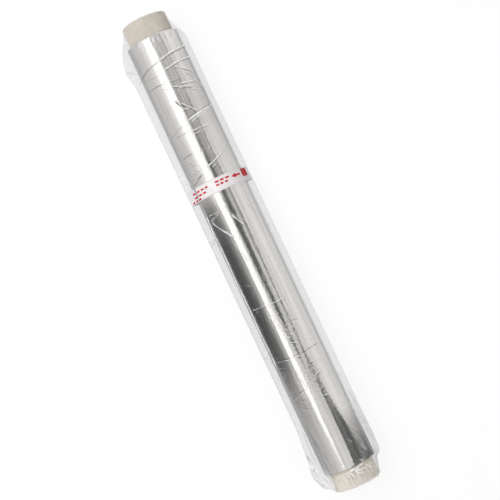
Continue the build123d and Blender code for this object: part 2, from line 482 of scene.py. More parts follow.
lipRound = 0.4 * mm
sleeveStations = [
    station(12, coreLow.x + 14 * mm, boreRadius, out=-1.3, along=-2.0, inside=(0, 1)),
    station(3, nearLip + 1.5 * mm, boreRadius, out=-0.9, along=-0.4, inside=(0, 1)),
    station(2, nearLip + lipRound, boreRadius, out=-0.6, along=-0.3, inside=(0.4, 0.9)),
    station(3, nearLip, boreRadius + lipRound, out=-0.2, along=-0.4, inside=(0.9, 0.4)),
    station(2, nearLip, neckRadius - lipRound, along=-0.25, inside=(0.9, -0.4)),
    station(9, nearLip + lipRound, neckRadius, out=0.1, inside=(0.4, -0.9)),
    station(8, nearNeck(0.33), neckRadius, 1.4, out=0.25),
    station(9, nearNeck(0.61), neck(0.33), 2.6, 0.2, out=0.3),
    station(5, nearNeck(0.88), neck(0.75), 3.6, 0.8, out=0.2),
    station(11, nearShoulder, filmRadius, 3.8, 1.6, out=0.06),
    station(12, nearShoulder + 6 * mm, filmRadius, 5.6, 3.4, out=0.03),
    station(21, nearShoulder + 12 * mm, filmRadius, 6.9, 3.2),
    station(28, nearShoulder + 23 * mm, filmRadius, 4.9, 3.1),
    station(110, nearShoulder + 38 * mm, filmRadius, 4.7, 3.0),
    station(80, nearShoulder + 95 * mm, filmRadius, 4.4, 3.2),
    station(116, 0.0, filmRadius, 4.2, 3.4),
    station(40, farShoulder - 37 * mm, filmRadius, 4.0, 3.7),
    station(16, farShoulder - 12.5 * mm, filmRadius, 5.8, 3.9),
    station(10, farShoulder - 4.5 * mm, filmRadius, 7.4, 4.0, out=0.05),
    station(8, farShoulder, filmRadius, 7.3, 3.3, out=0.12),
    station(10, farNeck(0.74), neck(0.78), 6.3, 0.7, out=0.4),
    station(10, farNeck(0.44), neck(0.33), 5.3, 0.3, out=0.7),
    station(6, farNeck(0.17), neck(0.04), 1.2, out=0.9),
    station(2, farLip - lipRound, neckRadius, out=0.7, along=0.5, inside=(-0.4, -0.9)),
    station(3, farLip, neckRadius - lipRound, out=0.3, along=1.0, inside=(-0.9, -0.4)),
    station(2, farLip, boreRadius + lipRound, out=-0.3, along=1.6, inside=(-0.9, 0.4)),
    station(3, farLip - lipRound, boreRadius, out=-0.8, along=1.5, inside=(-0.4, 0.9)),
    station(10, farLip - 1.5 * mm, boreRadius, out=-1.0, along=1.2, inside=(0, 1)),
    station(0, coreHigh.x - 11 * mm, boreRadius, out=-1.5, along=2.5, inside=(0, 1)),
]


def rowBetween(before, after, share):
    # places and radii run straight from station to station, and the rest eases over
    row = {}
    for key in before:
        part = share if key in ("x", "radius") else ease(share)
        row[key] = before[key] + (after[key] - before[key]) * part
    return row


def sleeveRow(x):
    for before, after in zip(sleeveStations, sleeveStations[1:]):
        if before["x"] <= x < after["x"]:
            return rowBetween(before, after, (x - before["x"]) / (after["x"] - before["x"]))


def drawnRound(row, angle):
    # the film's distance from the axis: round a cylinder, and out to its creases
    radius = row["radius"]
    drop = filmSleeve["creaseDrop"]
    corners = []
    if row["right"] > 0.01 * mm:
        corners.append((radius + row["right"], -drop, row["right"]))
    if row["left"] > 0.01 * mm:
        corners.append((-radius - row["left"], -drop, row["left"]))
    if radius > filmRadius - 0.01 * mm:
        corners += [(side * filmSleeve["restHalfWidth"], -filmRadius, 0) for side in (-1, 1)]
    reach, slack = radius, 0
    for across, up, stand in corners:
        wrap = math.acos(min(1, radius / math.hypot(across, up)))
        turn = abs(math.remainder(angle - math.atan2(across, up), 2 * math.pi))
        if turn < wrap:
            reach = max(reach, radius / math.cos(wrap - turn))
            share = turn / wrap
            slack = max(slack, stand * share * (1 - share) * 4)
    return reach, slack


def gatherAt(x, angle):
    # narrow ridges with wide hollows between them, from 0 to 1
    scale, length = filmSleeve["gatherScale"], filmSleeve["gatherLength"]
    ridge = noise.noise(Vector((math.cos(angle) * scale, math.sin(angle) * scale, x / length)))
    return max(0, 1 - filmSleeve["gatherSharpness"] * abs(ridge))


def slackStand(x, angle, slack):
    # beside a crease the slack film stands in, in waves
    waves = roundNoise(x / filmSleeve["marginLength"], angle, 3)
    return slack * (waves * filmSleeve["marginWave"] / (4 * mm) - filmSleeve["pinch"])


def sleevePlace(row, angle):
    out, slack = drawnRound(row, angle)
    out += slackStand(row["x"], angle, slack)
    gather = gatherAt(row["x"], angle)
    raised = 0.5 + 0.5 * math.cos(angle - filmSleeve["looseAngle"])
    x = row["x"] + row["along"] * raised ** 2 * (0.35 + 0.65 * gather)
    return x, out + row["out"] * gather, slack


# Folds in the film that the camera sees: place along the roll in mm and angle from the top in
# degrees, at both ends, then height and width in mm, and how white the painted highlight on the
# ridge and how dark the painted shade in the hollow beside it are. A negative white gives a painted dark
# ridge
sleeveFolds = [
    (-33, -66.5, 76, -65.5, 0.12, 0.7, 1.6, 0.1),
    (-132.8, -8, -139, 84, 0.42, 0.62, 0.95, 0.85),
    (-126, -8, -130.7, 84, 0.36, 0.62, 0.85, 0.65),
    (-127, -88, -133.4, -2, 0.3, 0.5, -0.65, -0.2),
    (-124.7, -68, -125.3, -10, 0.14, 0.5, -0.2, -0.1),
    (-118.9, -66, -118.5, -10, 0.28, 0.5, -0.5, -0.25),
    (-116.5, -30, -114, -5, 0.25, 0.5, 0.35, 0.4),
    (-127.7, 11, -118, 66, 0.3, 0.6, 0.65, 0.5),
    (-124.5, 20, -117, 60, 0.2, 0.5, -0.3, -0.3),
    (-121.5, 34, -115, 62, 0.24, 0.5, 0.45, 0.5),
    (-119, 58, -112, 50, 0.24, 0.6, -0.35, -0.4),
    (-118.1, -6, -117.5, 26, 0.24, 0.5, 0.3, 0.6),
    (-114.9, 12, -113.6, 50, 0.36, 0.65, 0.9, 0.6),
    (-115.2, -6, -109.3, 46, 0.3, 0.55, 0.6, 0.7),
    (-113.0, 4, -110.4, 34, 0.22, 0.45, 0.45, 0.4),
    (-116.2, 44, -101.5, 95, 0.34, 0.6, 0.65, 0.4),
    (-109, 30, -107.4, 48, 0.18, 0.45, 0.3, 0.3),
    (-106.5, -10, -100, -3, 0.3, 0.7, -0.8, -0.2),
    (-103.6, -5, -93, 27, 0.3, 0.55, 0.6, 0.8),
    (-99, -5, -97.5, 12, 0.2, 0.45, 0.4, 0.5),
    (-96.8, 78, -90.4, -9, 0.36, 0.6, 0.95, 0.6),
    (-94.6, 60, -88.4, -8, 0.24, 0.5, 0.55, 0.8),
    (-85.8, -62, -89.6, -12, 0.26, 0.5, -0.4, -0.3),
    (-84.3, -52, -84, -8, 0.22, 0.5, -0.3, -0.2),
    (-83.9, -7, -83.2, 40, 0.22, 0.5, 0.7, 0.5),
    (-81.5, -4, -81, 20, 0.16, 0.5, 0.3, 0.4),
    (-70.5, -61, -70.5, -21, 0.26, 0.5, -0.5, -0.2),
    (-69, -42, -57, -15, 0.28, 0.7, 0.3, 0.35),
    (-59, -9, -64.6, 36, 0.34, 0.55, 0.9, 0.6),
    (-64, 31, -69, 77, 0.26, 0.4, 0.55, 0.45),
    (-57.5, 0, -59, 12, 0.2, 0.5, 0.35, 0.5),
    (-51.5, -62, -57, -20, 0.36, 0.55, -0.75, -0.45),
    (-63, -35, -55.5, -17, 0.24, 0.5, 0.35, 0.3),
    (-62, -50, -53, -20, 0.14, 0.5, 0.25, 0.3),
    (-50, -40, -44.5, -16, 0.2, 0.6, 0.3, 0.3),
    (-31, -58, -31, -21, 0.3, 0.5, 0.42, 0.4),
    (-26.5, -58, -29.5, -24, 0.2, 0.8, 0.3, 0.1),
    (-27, -58, -11, -15, 0.34, 0.5, 0.95, 0.4),
    (-25.0, -54, -15, -20, 0.2, 0.45, 0.5, 0.3),
    (-26, -7, -16, 12, 0.26, 0.55, 0.75, 0.7),
    (-28.5, -6, -20, 8, 0.2, 0.5, 0.35, 0.7),
    (-29, 36, -20, 62, 0.14, 0.5, 0.3, 0.15),
    (-25.5, 40, -18.5, 62, 0.12, 0.5, 0.2, 0.1),
    (-10, -22, 8, -14, 0.2, 0.8, 0.35, 0.1),
    (-10.8, -9, -9.6, -4, 0.25, 0.6, 0.8, 0.8),
    (35.8, -60, 35.8, 34, 0.13, 0.36, 0.62, 0.6),
    (33, -50, 38.5, -44, 0.1, 0.5, 0.25, 0.2),
    (31, -30, 37.5, -20, 0.1, 0.5, 0.2, 0.2),
    (50.9, -2, 50.9, 34, 0.16, 0.5, -0.35, -0.2),
    (56.0, -7, 61.0, 10, 0.2, 0.5, 0.4, 0.5),
    (62.5, -6, 66.5, 12, 0.2, 0.5, 0.4, 0.5),
    (71.2, -60, 71.9, -16, 0.12, 0.42, -0.8, -0.6),
    (72.1, -18, 71.8, 20, 0.12, 0.42, -0.7, -0.6),
    (71.9, 15, 70.6, 54, 0.12, 0.42, -0.7, -0.5),
    (74.2, -60, 76.4, -34, 0.16, 0.5, -0.6, -0.3),
    (78.0, -56, 79.6, -40, 0.16, 0.5, -0.4, -0.3),
    (79.5, 6, 79, 36, 0.16, 0.5, 0.3, 0.3),
    (97.8, -60, 93.7, -17, 0.24, 0.5, -0.45, -0.45),
    (88.5, 4, 86.0, 34, 0.22, 0.55, 0.45, 0.5),
    (92, 2, 89.5, 20, 0.18, 0.55, 0.3, 0.4),
    (98.5, 2, 96.5, 24, 0.22, 0.5, 0.5, 0.6),
    (101.5, 6, 102.5, 28, 0.2, 0.5, 0.4, 0.5),
    (99.6, -40, 100.6, -20, 0.16, 0.5, -0.3, -0.3),
    (104, -46, 106.5, -24, 0.16, 0.5, -0.25, -0.3),
    (105, 84, 143, 97, 0.4, 0.8, -0.2, 0.3),
    (118, 82, 146, 92, 0.35, 0.7, -0.25, 0.3),
    (106, 66, 148.5, 75, 0.05, 0.8, 0.5, 0),
    (106, -66, 146, -40, 0.25, 0.5, -0.45, -0.2),
    (118, -62, 147, -50, 0.25, 0.5, -0.4, -0.3),
    (124, -70, 147, -66, 0.3, 0.7, -0.2, -0.3),
    (112, -82, 146, -76, 0.34, 0.8, -0.2, 0.3),
    (132, -93, 148, -84, 0.4, 0.8, -0.3, 0.35),
    (151.6, -12, 150.9, 30, 0.3, 0.7, 0.8, 0.4),
    (152.0, -6, 157.5, -1, 0.35, 0.7, 0.7, 0.3),
    (152.6, 0, 154.6, 22, 0.35, 0.75, 0.7, 0.4),
    (154.8, 2, 157.6, 26, 0.3, 0.7, 0.6, 0.3),
    (151.2, 28, 157, 46, 0.3, 0.6, 0.6, 0.4),
    (152, 16, 155.5, 34, 0.25, 0.6, 0.5, 0.3),
    (155.5, -26, 157.5, -22, 0.25, 0.6, 0.5, 0.2),
]


def looseFolds():
    # folds that only the back and the underside show, and small ones all over the roll, in the
    # same units. A pair is a range to draw from
    draw = random.Random(11)
    made = []

    def add(*values):
        drawn = [draw.uniform(*value) if isinstance(value, tuple) else value for value in values]
        x, angle, lean, turn, height, width, white = drawn
        made.append((x, angle, x + lean, angle + turn, height, width, white, 0.5 * white))

    for _ in range(46):
        add((-140, 140), (98, 262), (-9, 9), (10, 46), (0.12, 0.3), (0.6, 0.9), (0.15, 0.5))
    for angle in (-29, -25, 2, 5, 12, 31, 48):  # glints beside the foil's edge at -X
        add(-149.5, angle, (4, 9), (-3, 3), 0.26, 0.5, (0.3, 0.7))
    for number in range(16):  # slanting folds on the right at +X
        x = 124 + 1.2 * number
        add((x - 1, x + 1), (28, 44), (5, 9), (10, 18), (0.08, 0.18), (0.24, 0.32), (0.2, 0.5))
    for _ in range(16):  # short ones along the foil's edge there
        add((146.6, 148.4), (-20, 62), (1.2, 2.6), (3, 7), (0.1, 0.2), (0.3, 0.4), (-0.6, 0.7))
    for number in range(7):  # and across the film beside the foil
        add(100 + 4.6 * number, 64, (24, 32), 25, (0.15, 0.25), (0.4, 0.55), (-0.4, -0.2))
    for _ in range(34):  # short folds anywhere on top
        add((-146, 146), (-70, 75), (-5, 5), (5, 18), (0.05, 0.13), (0.5, 0.8), (0.05, 0.2))
    for _ in range(12):  # crinkles over the core at +X
        add((150.8, 157), (-30, 60), (-3, 3), (8, 22), (0.15, 0.3), (0.5, 0.7), (0.2, 0.5))
    for _ in range(14):  # and in the slack film on its left
        add((136, 156), (-104, -72), (3, 10), (-8, 16), (0.3, 0.6), (0.5, 0.9), (0.3, 0.8))
    return made


# How each fold bends, swells and fades along its length
foldShape = {
    "strength": 1.35,  # of the painted white highlight and dark shade lines
    "reach": 4,  # in widths, to each side of the ridge
    "bend": 0.35 * mm,
    "bendLength": 5.3 * mm,
    "wander": 0.09 * mm,
    "wanderLength": 1.7 * mm,
    "swell": 0.55,
    "swellLength": 4 * mm,
    "patchLength": 3 * mm,
    "hollow": 0.3,  # beside the ridge, as a share of its height
    "hollowPlace": 1.5,
}


class Fold:
    def __init__(self, x1, angle1, x2, angle2, height, width, white, dark):
        self.start = Vector((x1 * mm, math.radians(angle1) * filmRadius))
        run = Vector((x2 * mm, math.radians(angle2) * filmRadius)) - self.start
        self.length = run.length
        self.direction = run.normalized()
        self.height = height * mm
        self.width = width * mm
        self.white, self.dark = foldShape["strength"] * white, foldShape["strength"] * dark
        reach = foldShape["reach"] * self.width
        self.near, self.far = min(x1, x2) * mm - reach, max(x1, x2) * mm + reach

    def at(self, x, arc):
        # the film's height there, the distance from the ridge in widths, and the fold's strength
        offset = Vector((x, arc)) - self.start
        along = offset.dot(self.direction)
        reach = foldShape["reach"]
        if not 0 < along < self.length:
            return 0, reach, 0
        bend = foldShape["bend"] * math.sin(along / foldShape["bendLength"] + self.start.x * 900)
        place = Vector((along / foldShape["wanderLength"], self.start.y * 900, 4.1))
        bend += foldShape["wander"] * noise.noise(place)
        place = Vector((along / foldShape["swellLength"], 7.7, self.start.x * 900))
        swell = 1 + foldShape["swell"] * noise.noise(place)
        aside = (offset.x * self.direction.y - offset.y * self.direction.x + bend) / (self.width * swell)
        if abs(aside) > reach:
            return 0, reach, 0
        taper = ease(min(along, self.length - along) / min(0.22 * self.length, 5 * mm))
        patchy = noise.noise(Vector((along / foldShape["patchLength"], self.height / mm, 1.5)))
        part = taper * (0.8 + 0.6 * patchy)
        hollow = foldShape["hollow"] * math.exp(-(aside - foldShape["hollowPlace"]) ** 2)
        return self.height * part * (math.exp(-aside * aside) - hollow), aside, part


folds = [Fold(*values) for values in sleeveFolds + looseFolds()]


def clearFilm():
    material, tree, paintedWhite = startMaterial("clearFilm")

    def attribute(name):
        return addNode(tree, "Attribute", attribute_name=name).outputs

    def bell(distance, middle):
        offset = combine(tree, "SUBTRACT", distance, middle)
        scaled = times(tree, offset, filmSleeve["lineSharpness"])
        squared = times(tree, scaled, scaled)
        return combine(tree, "EXPONENT", times(tree, squared, -1.0), 0.0)

    # painted highlight and shade: a fold is a painted white line along its ridge and a painted dark one
    # beside it, or the other way round
    aside, white, dark = addNode(tree, "SeparateXYZ", {0: attribute("fold")["Vector"]}).outputs
    ridge = times(tree, bell(aside, 0.0), white)
    hollow = times(tree, bell(aside, 1.2), dark)
    lines = combine(tree, "SUBTRACT", ridge, hollow)
    crinkle = objectNoise(tree, (300, 420, 420), Detail=4.0, Roughness=0.55, Distortion=0.6)
    relief = bumps(tree, crinkle, filmSleeve["crinkleRelief"])
    relief = bumps(tree, lines, filmSleeve["foldRelief"], relief)
    facing = addNode(tree, "LayerWeight", {"Blend": 0.5, "Normal": relief}).outputs["Facing"]
    mirrored = spread(tree, combine(tree, "POWER", facing, 6.0), filmSleeve["headOnGloss"],
                      filmSleeve["grazingGloss"])
    middle, half = (stripLow.x + stripHigh.x) / 2, (stripHigh.x - stripLow.x) / 2
    overStrip = addNode(tree, "Math", {0: objectPlace(tree)["X"], 1: middle, 2: half}, operation="COMPARE")
    clinging = spread(tree, overStrip.outputs[0], 1.0, filmSleeve["overStrip"])
    # painted shade: the film is tinted darker in its margins beside the creases
    shadedSides = blendColours(tree, filmSleeve["tint"], filmSleeve["marginShadeTint"], attribute("margin")["Fac"])
    # painted shade: the tint darkens along the folds' dark lines
    tint = blendColours(tree, shadedSides, filmSleeve["foldShade"], shareOf(tree, lines, 0.0, -1.0))
    through = addNode(tree, "BsdfTransparent", {"Color": tint})
    gloss = addNode(tree, "BsdfAnisotropic", {"Color": (1, 1, 1, 1), "Normal": relief,
                                              "Roughness": filmSleeve["roughness"]})
    film = mixShaders(tree, times(tree, mirrored, clinging), through.outputs[0], gloss.outputs[0])
    feed(tree, paintedWhite, {"Base Color": filmSleeve["paintedWhiteFilm"],
                         "Roughness": filmSleeve["paintedWhiteRoughness"]})
    # painted highlight and sheen: white along fold ridges and where the film is creased or gathered
    whiter = spread(tree, combine(tree, "ADD", lines, attribute("cloud")["Fac"]), filmSleeve["haze"],
                    filmSleeve["paintedHighlightWhite"])
    whiter = times(tree, whiter, clinging)
    surface(tree, mixShaders(tree, whiter, film, paintedWhite.outputs[0]))
    return material


def sleeveRows():
    # the outer skin row by row, with its folds, and then the inner skin back again, coarser
    outer, inner = [], []
    for before, after in zip(sleeveStations, sleeveStations[1:]):
        count = before["rows"]
        outer += [rowBetween(before, after, step / count) for step in range(count)]
        coarse = max(2, count // 8)
        inner += [rowBetween(before, after, step / coarse) for step in range(coarse)]
    outer.append(dict(sleeveStations[-1]))
    inner.append(dict(sleeveStations[-1]))
    for row in inner:
        row["x"] += row["insideX"] * filmThickness
        row["radius"] += row["insideOut"] * filmThickness
    for row in outer:
        row["folds"] = [fold for fold in folds if fold.near < row["x"] < fold.far]
    return outer + inner[::-1]


def makeFilmSleeve():
    rows = sleeveRows()
    over, under = filmSleeve["columnsOver"], filmSleeve["columnsUnder"]
    bm = bmesh.new()
    foldLayer = bm.verts.layers.float_vector.new("fold")
    paintedSheenLayer = bm.verts.layers.float.new("cloud")
    marginShadeLayer = bm.verts.layers.float.new("margin")
    creaseLayer = bm.verts.layers.int.new("crease")

    def place(rowNumber, column, vert):
        row = rows[rowNumber]
        rightCrease = math.atan2(row["radius"] + row["right"], -filmSleeve["creaseDrop"])
        leftCrease = -math.atan2(row["radius"] + row["left"], -filmSleeve["creaseDrop"])
        if column <= over:
            angle = rightCrease + (leftCrease - rightCrease) * column / over
            apart = min(abs(angle - rightCrease), abs(angle - leftCrease))
        else:
            angle = leftCrease + (rightCrease - 2 * math.pi - leftCrease) * (column - over) / under
            apart = 0
        x, out, slack = sleevePlace(row, angle)
        vert[creaseLayer] = 1 if column in (0, over) else 0
        # painted shade share: how far into a margin beside a crease the film is tinted darker
        vert[marginShadeLayer] = min(1, apart / 0.5) * max(0, min(1, 2.2 * slack / mm))
        if "folds" not in row:
            return fromAxis(x, out, angle)
        clearest, nearest = 0, (4, 0, 0)
        for fold in row["folds"]:
            for arc in (angle * filmRadius, (angle + 2 * math.pi) * filmRadius):
                rise, aside, part = fold.at(x, arc)
                out += rise
                part *= math.exp(-(aside / 1.8) ** 2)
                if part * abs(fold.white) > clearest:
                    clearest = part * abs(fold.white)
                    nearest = (aside, fold.white * part, fold.dark * part)
        vert[foldLayer] = nearest
        # painted sheen: the film is painted whiter at its creases, where it is gathered over the core at
        # +X, and in the slack film beside it there
        paintedWhite = filmSleeve["creaseSheenPaint"] if column in (0, over) else 0
        gathered = gatherAt(x, angle) ** 2 * min(1, abs(row["out"]) / (0.8 * mm))
        slackShare = ease((x - farShoulder + 9 * mm) / (12 * mm)) * min(1, slack / (3 * mm))
        farShare = ease((x - farShoulder) / (4 * mm))
        farSheenPaint = farShare * (filmSleeve["farSheenPaint"] + filmSleeve["gatherSheenPaint"] * gathered)
        vert[paintedSheenLayer] = max(paintedWhite, farSheenPaint + filmSleeve["slackSheenPaint"] * slackShare)
        if row["radius"] > filmRadius - 0.01 * mm and abs(angle) <= 2.6:
            out += filmSleeve["slackHeight"] * max(0, roundNoise(x / filmSleeve["slackLength"], angle, 4))
        return fromAxis(x, out, angle)

    closedBand(bm, len(rows), over + under, place)
    for edge in bm.edges:
        if all(vert[creaseLayer] for vert in edge.verts):
            edge.smooth = False
    bm.verts.layers.int.remove(creaseLayer)
    addPiece(bm, "filmSleeve", clearFilm(), "film_sleeve")


makeFilmSleeve()
print("film made")

# Tear strip
tearStrip = {
    "thickness": 0.06 * mm,
    "columns": 150,
    "rowsAcross": 10,
    "milk": (0.85, 0.81, 0.8),
    "milkDeep": (0.8, 0.755, 0.75),
    "roughness": 0.32,
    "relief": 0.03 * mm,
}


def stripMaterial():
    material, tree, film = startMaterial("milkyStrip")
    clouds = objectNoise(tree, (180, 220, 220), Detail=3.0)
    shade = ramp(tree, clouds, [(0.35, tearStrip["milkDeep"]), (0.6, tearStrip["milk"])])
    feed(tree, film, {"Base Color": shade, "Roughness": tearStrip["roughness"],
                      "Normal": bumps(tree, clouds, tearStrip["relief"])})
    return material


def underFilm(x, angle, depth):
    # a point the given depth under the sleeve's outer skin, without its folds and gathers
    out, slack = drawnRound(sleeveRow(x), angle)
    return fromAxis(x, out + slackStand(x, angle, slack) - depth, angle)


def makeTearStrip():
    across = tearStrip["rowsAcross"]
    depth = filmRadius - stripRadius

    def place(row, column, _):
        side = row if row <= across else 2 * across + 1 - row
        skin = 0 if row <= across else tearStrip["thickness"]
        angle = 2 * math.pi * column / tearStrip["columns"]
        x = stripLow.x + (stripHigh.x - stripLow.x) * side / across
        return underFilm(x, angle, depth + skin)

    bm = bmesh.new()
    closedBand(bm, 2 * across + 2, tearStrip["columns"], place)
    addPiece(bm, "tearStrip", stripMaterial(), "tear_strip")


makeTearStrip()
print("strip made")

# Print on the strip
stripPrint = {
    "aboveStrip": 0.035 * mm,
    "thickness": 0.03 * mm,
    "dashWidth": 1.15 * mm,
    "dashGap": 0.9 * mm,
    "dashCorner": 0.35 * mm,
    # each row of dashes: how many, its place from the strip's middle, its first and last Y, in mm
    "dashRows": [(4, -1.6, -18.2, -7.4), (3, 1.0, -18.2, -9.6), (3, 3.2, -20.6, -14.2),
                 (3, -1.9, -2.2, 7.6), (3, 0.3, -2.2, 6.0)],
    "arrowTip": 8.9 * mm,
    "arrowLength": 5.9 * mm,
    "arrowHead": 3.0 * mm,
    "arrowShaft": 1.3 * mm,
    "arrowAside": -1.1 * mm,
    "markFrom": 15.9 * mm,
    "markTo": 19.2 * mm,
    "markLength": 5.3 * mm,
    "markCorner": 0.7 * mm,
    "markAside": -1.5 * mm,
    "red": (0.66, 0.006, 0.022),
    "redDeep": (0.56, 0.004, 0.016),
    "roughness": 0.4,
    "gloss": 0.15,
}


def inkMaterial():
    material, tree, ink = startMaterial("redInk")
    grain = objectNoise(tree, (900, 900, 900), Detail=3.0, Roughness=0.6)
    shade = ramp(tree, grain, [(0.35, stripPrint["redDeep"]), (0.6, stripPrint["red"])])
    feed(tree, ink, {"Base Color": shade, "Roughness": stripPrint["roughness"],
                     "Specular IOR Level": stripPrint["gloss"]})
    return material


def angleOver(x, y, depth):
    # the angle at which the layer under the film stands over y
    low, high = -math.pi / 2, math.pi / 2
    for _ in range(30):
        middle = (low + high) / 2
        if underFilm(x, middle, depth).y < y:
            low = middle
        else:
            high = middle
    return (low + high) / 2


def layOnStrip(bm, verts):
    # flat print, drawn in X and Y, is laid on the strip and given its thickness
    faces = {face for vert in verts for face in vert.link_faces}
    depth = filmRadius - stripRadius - stripPrint["aboveStrip"]
    for vert in verts:
        x = vert.co.x
        vert.co = underFilm(x, angleOver(x, vert.co.y, depth), depth)
    for face in faces:
        face.normal_update()
        if face.normal.z < 0:
            face.normal_flip()
    bmesh.ops.solidify(bm, geom=list(faces), thickness=stripPrint["thickness"])


def block(bm, x, y, width, length, corner=0.0):
    # a flat block of print with its corners rounded
    made = bmesh.ops.create_grid(bm, x_segments=6, y_segments=max(6, round(length / (0.3 * mm))), size=0.5)
    for vert in made["verts"]:
        along, up = vert.co.x * width, vert.co.y * length
        past = max(0, abs(up) - (length / 2 - corner))
        shrink = corner - math.sqrt(max(0, corner * corner - past * past)) if corner else 0
        along *= 1 - 2 * shrink / width
        vert.co = Vector((x + along, y + up, 0))
    return made["verts"]


def makeStripPrint():
    bm = bmesh.new()
    middle = (stripLow.x + stripHigh.x) / 2
    width, gap = stripPrint["dashWidth"], stripPrint["dashGap"]
    for count, aside, first, last in stripPrint["dashRows"]:
        length = ((last - first) * mm - gap * (count - 1)) / count
        for number in range(count):
            y = first * mm + length / 2 + number * (length + gap)
            layOnStrip(bm, block(bm, middle + aside * mm, y, width, length, stripPrint["dashCorner"]))
    markWidth = stripPrint["markTo"] - stripPrint["markFrom"]
    markY = (stripPrint["markTo"] + stripPrint["markFrom"]) / 2
    markX = middle + stripPrint["markAside"]
    layOnStrip(bm, block(bm, markX, markY, stripPrint["markLength"], markWidth, stripPrint["markCorner"]))
    centre = middle + stripPrint["arrowAside"]
    tip, head = stripPrint["arrowTip"], stripPrint["arrowHead"]
    shaftLength = stripPrint["arrowLength"] - head
    layOnStrip(bm, block(bm, centre, tip + head + shaftLength / 2, stripPrint["arrowShaft"], shaftLength))
    arrow = bmesh.ops.create_grid(bm, x_segments=8, y_segments=10, size=0.5)["verts"]
    for vert in arrow:
        share = max(0.02, vert.co.y + 0.5)
        vert.co = Vector((centre + vert.co.x * head * share, tip + head * share, 0))
    layOnStrip(bm, arrow)
    addPiece(bm, "stripPrint", inkMaterial(), "strip_print")


makeStripPrint()
print("print made")

# Studio. The lamp and the overhead cards are square to the picture, so the roll lies across them
studio = {
    "cameraPlace": (0.026, 0.0, 0.8447),
    "cameraAim": (-0.00087, 0.0, 0.01794),
    "imageRight": (0.423, 0.9061, 0.0),
    "fieldOfView": 22.0,
    "cardHeight": 0.6,  # of the lamp and the overhead cards above the top of the roll
    "softboxLight": 3.6,  # radiance
    "fillLight": 0.9,
    "ambient": 0.55,
    "floorWhite": 0.95,
    "floorRoughness": 0.9,
    "floorGlow": 0.85,  # share of plain white in what the camera sees of the floor
    "floorHalf": 3.0,
    "floorDrop": 0.2 * mm,
    "cardTint": (1, 0.99, 0.975, 1),
    "sideCardPlace": 0.054,
    "sideCardHeight": 0.09,
    "footHeight": 0.6 * mm,
}
scene = bpy.context.scene
roofZ = axisHeight + filmRadius + studio["cardHeight"]
pictureTurn = math.atan2(studio["imageRight"][1], studio["imageRight"][0])


def addCard(name, corners, stops, axis="X", rise=None, riseAxis="Z"):
    # a card that only shows in reflections. stops: its brightness at places along the axis.
    # rise: what is added to it along the other axis
    bm = bmesh.new()
    bm.faces.new([bm.verts.new(corner) for corner in corners])
    material, tree, unused = startMaterial(name)
    tree.nodes.remove(unused)
    parts = objectPlace(tree)

    def brightness(values, along):
        low, high = values[0][0], values[-1][0]
        shares = [((place - low) / (high - low), grey) for place, grey in values]
        return greyRamp(tree, shareOf(tree, parts[along], low, high), shares)

    total = brightness(stops, axis)
    if rise:
        total = combine(tree, "ADD", total, brightness(rise, riseAxis))
    light = addNode(tree, "Emission", {"Color": studio["cardTint"], "Strength": total})
    surface(tree, light.outputs[0])
    card = meshObject(bm, name, material)
    card.visible_camera = card.visible_shadow = card.visible_diffuse = False
    card.visible_transmission = card.visible_volume_scatter = False
    return card


def overheadCard(name, across, up, stops, axis="Y", drop=0.0, rise=None):
    # across and up are ranges in the picture's own directions, from over the origin
    corners = [(across[0], up[0], 0), (across[1], up[0], 0), (across[1], up[1], 0), (across[0], up[1], 0)]
    card = addCard(name, corners, stops, axis, rise, "X" if axis == "Y" else "Y")
    card.location.z = roofZ - drop
    card.rotation_euler.z = pictureTurn


def standingCard(name, y, first, last, stops, rise):
    # an upright card beside the roll, between two places along it
    top = studio["sideCardHeight"]
    addCard(name, [(first, y, 0), (last, y, 0), (last, y, top), (first, y, top)], stops, rise=rise)


def footCard(name, low, high, stops, rise=None):
    # flat on the floor beside the roll, from one Y to the other
    z = studio["footHeight"]
    corners = [(-0.2, low, z), (0.22, low, z), (0.22, high, z), (-0.2, high, z)]
    addCard(name, corners, stops, rise=rise, riseAxis="Y")


